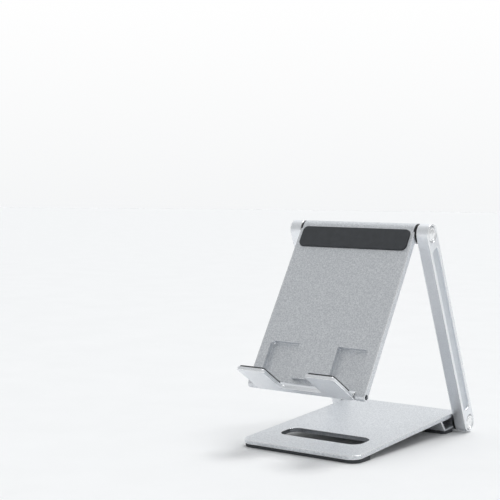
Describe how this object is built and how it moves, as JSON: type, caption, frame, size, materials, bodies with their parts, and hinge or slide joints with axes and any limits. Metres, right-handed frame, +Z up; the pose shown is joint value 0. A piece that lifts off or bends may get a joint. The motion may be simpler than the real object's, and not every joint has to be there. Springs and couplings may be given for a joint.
{
  "type": "phone stand",
  "caption": "Folding aluminium phone stand: a base plate, hinged side arms, a tilting back panel and a fold-out hook that holds the phone's lower edge.",
  "frame": {"origin": "on the table, under the middle of the open stand's bounding box", "axes": "+X to the user's right along the hinges, -Y towards the user, +Z up"},
  "size_m": [0.074, 0.11, 0.101],
  "materials": {
    "blasted_aluminium": "fine bead-blasted, clear anodised, with bright cut edges",
    "grey_rubber": "dark grey silicone rubber, matt",
    "shaft_steel": "ground steel",
    "polished_cap": "turned and polished",
    "black_washer": "black low-friction plastic",
    "friction_bush": "natural acetal"
  },
  "bodies": {
    "arm_frame": {"left_arm": "blasted_aluminium", "right_arm": "blasted_aluminium", "lower_shaft": "shaft_steel", "upper_shaft": "shaft_steel", "lower_washer_left": "black_washer", "lower_washer_right": "black_washer", "upper_washer_left": "black_washer", "upper_washer_right": "black_washer", "lower_cap_left": "polished_cap", "lower_cap_right": "polished_cap", "upper_cap_left": "polished_cap", "upper_cap_right": "polished_cap"},
    "base": {"base_plate": "blasted_aluminium", "base_front_foot": "grey_rubber", "base_rear_foot": "grey_rubber", "lower_bush_left": "friction_bush", "lower_bush_right": "friction_bush"},
    "panel": {"back_panel": "blasted_aluminium", "panel_pad": "grey_rubber", "hook_pin": "shaft_steel", "upper_bush_left": "friction_bush", "upper_bush_right": "friction_bush"},
    "hook": {"hook": "blasted_aluminium", "hook_pad_left": "grey_rubber", "hook_pad_right": "grey_rubber"}
  },
  "joints": [
    {"name": "base_hinge", "type": "hinge", "parent": "arm_frame", "child": "base", "pos_m": [0, 0.05044, 0.0051], "axis": [1, 0, 0], "range_deg": [-4, 290.8]},
    {"name": "panel_hinge", "type": "hinge", "parent": "arm_frame", "child": "panel", "pos_m": [0, 0.00864, 0.09639], "axis": [1, 0, 0], "range_deg": [-123.9, 56.1]},
    {"name": "hook_hinge", "type": "hinge", "parent": "panel", "child": "hook", "pos_m": [0, -0.03642, 0.02783], "axis": [-1, 0, 0], "range_deg": [0, 90]}
  ]
}
